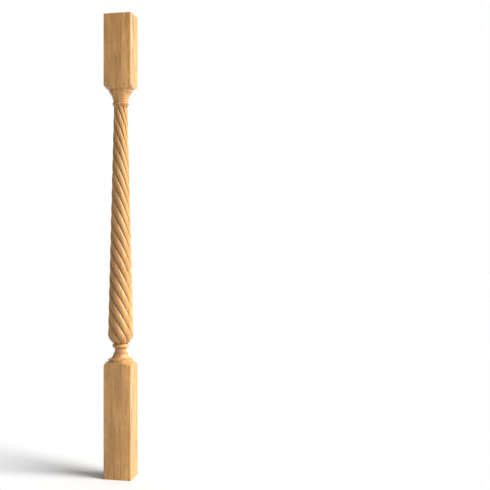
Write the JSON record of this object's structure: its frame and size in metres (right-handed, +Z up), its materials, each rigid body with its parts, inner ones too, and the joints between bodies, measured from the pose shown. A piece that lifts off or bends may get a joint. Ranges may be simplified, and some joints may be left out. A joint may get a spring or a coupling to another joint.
{
  "type": "wooden baluster",
  "caption": "Turned stair baluster of light oak with square end blocks and a rope-twist carved shaft that tapers upwards, for a stair or landing balustrade.",
  "frame": {"origin": "centre of the flat foot of the lower block, on the surface it stands on", "axes": "+Z up the baluster's axis, X and Y square to the flat faces of its blocks"},
  "size_m": [0.06, 0.06, 1],
  "materials": {
    "oak": "clear satin lacquer on light oak, glued up from three boards"
  },
  "bodies": {
    "root": {"baluster": "oak"}
  },
  "joints": []
}
